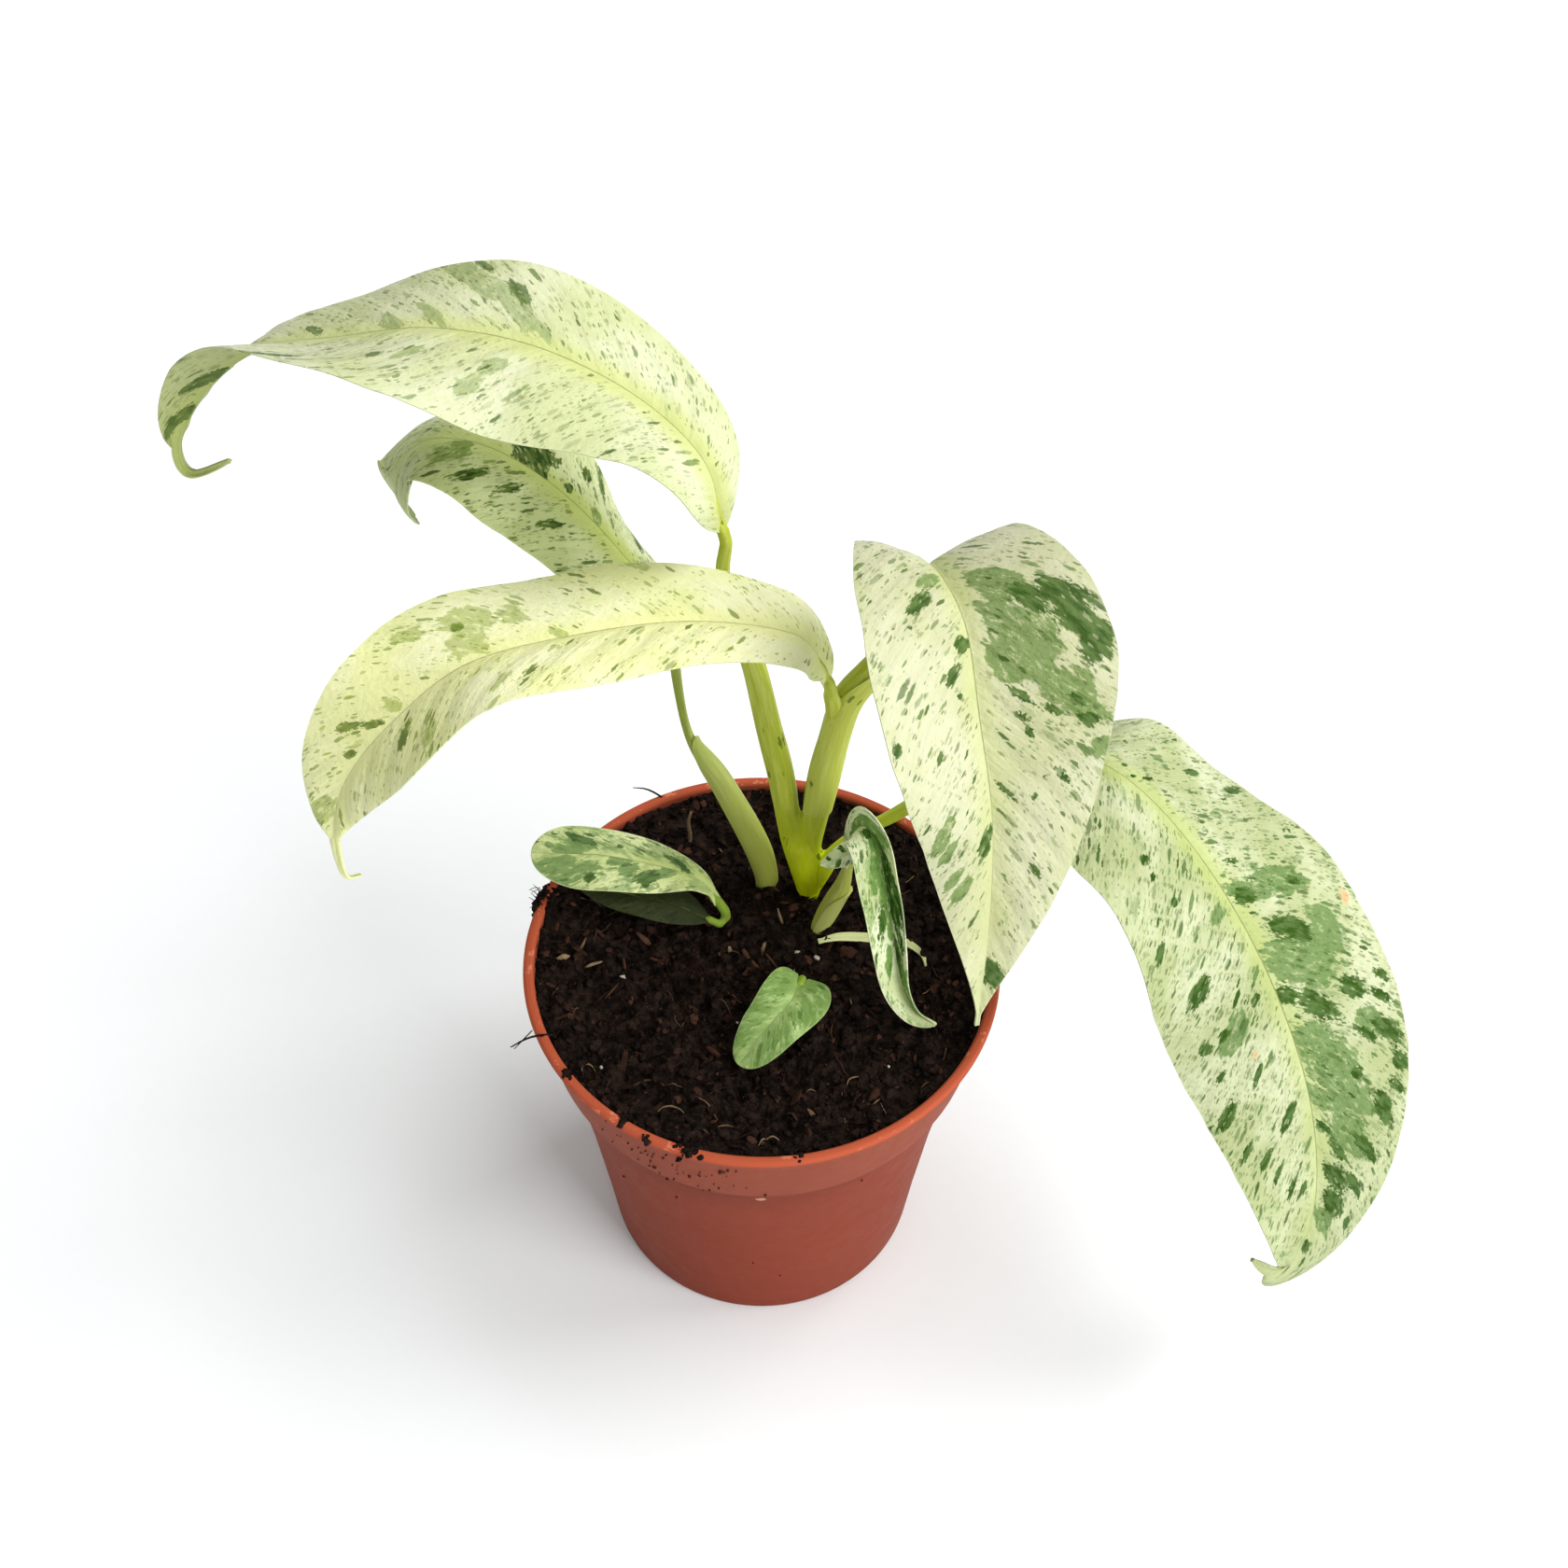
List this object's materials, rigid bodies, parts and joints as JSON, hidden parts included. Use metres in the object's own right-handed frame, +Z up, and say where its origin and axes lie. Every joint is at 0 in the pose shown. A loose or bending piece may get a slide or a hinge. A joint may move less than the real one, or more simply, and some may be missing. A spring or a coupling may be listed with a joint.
{
  "type": "potted trailing aroid",
  "caption": "Young climbing aroid with long arched, waved and twisted blades on slender sheathed stalks, standing in a round tapered nursery pot filled with dark soil.",
  "frame": {"origin": "centre of the pot's foot, on the plane that it stands on", "axes": "+Z up along the pot's axis, -Y towards the picture's viewer, +X to the viewer's right, along the plant's widest reach"},
  "size_m": [0.2946, 0.1495, 0.2635],
  "materials": {
    "pot": "satin",
    "soil": "matte",
    "stalk": "satin",
    "pale_blade": "satin",
    "marbled_blade": "satin",
    "green_blade": "satin"
  },
  "bodies": {
    "root": {"pot": "pot", "soil": "soil", "central_shoot": "stalk", "left_shoot": "stalk", "small_shoot": "stalk", "low_shoot": "stalk", "soil_leaf_stalk": "stalk", "top_leaf": "pale_blade", "left_leaf": "pale_blade", "scale_leaf": "pale_blade", "back_leaf": "marbled_blade", "right_leaf": "marbled_blade", "far_right_leaf": "marbled_blade", "young_leaf": "green_blade", "low_leaf": "green_blade", "low_under_leaf": "green_blade", "soil_leaf": "green_blade"}
  },
  "joints": []
}
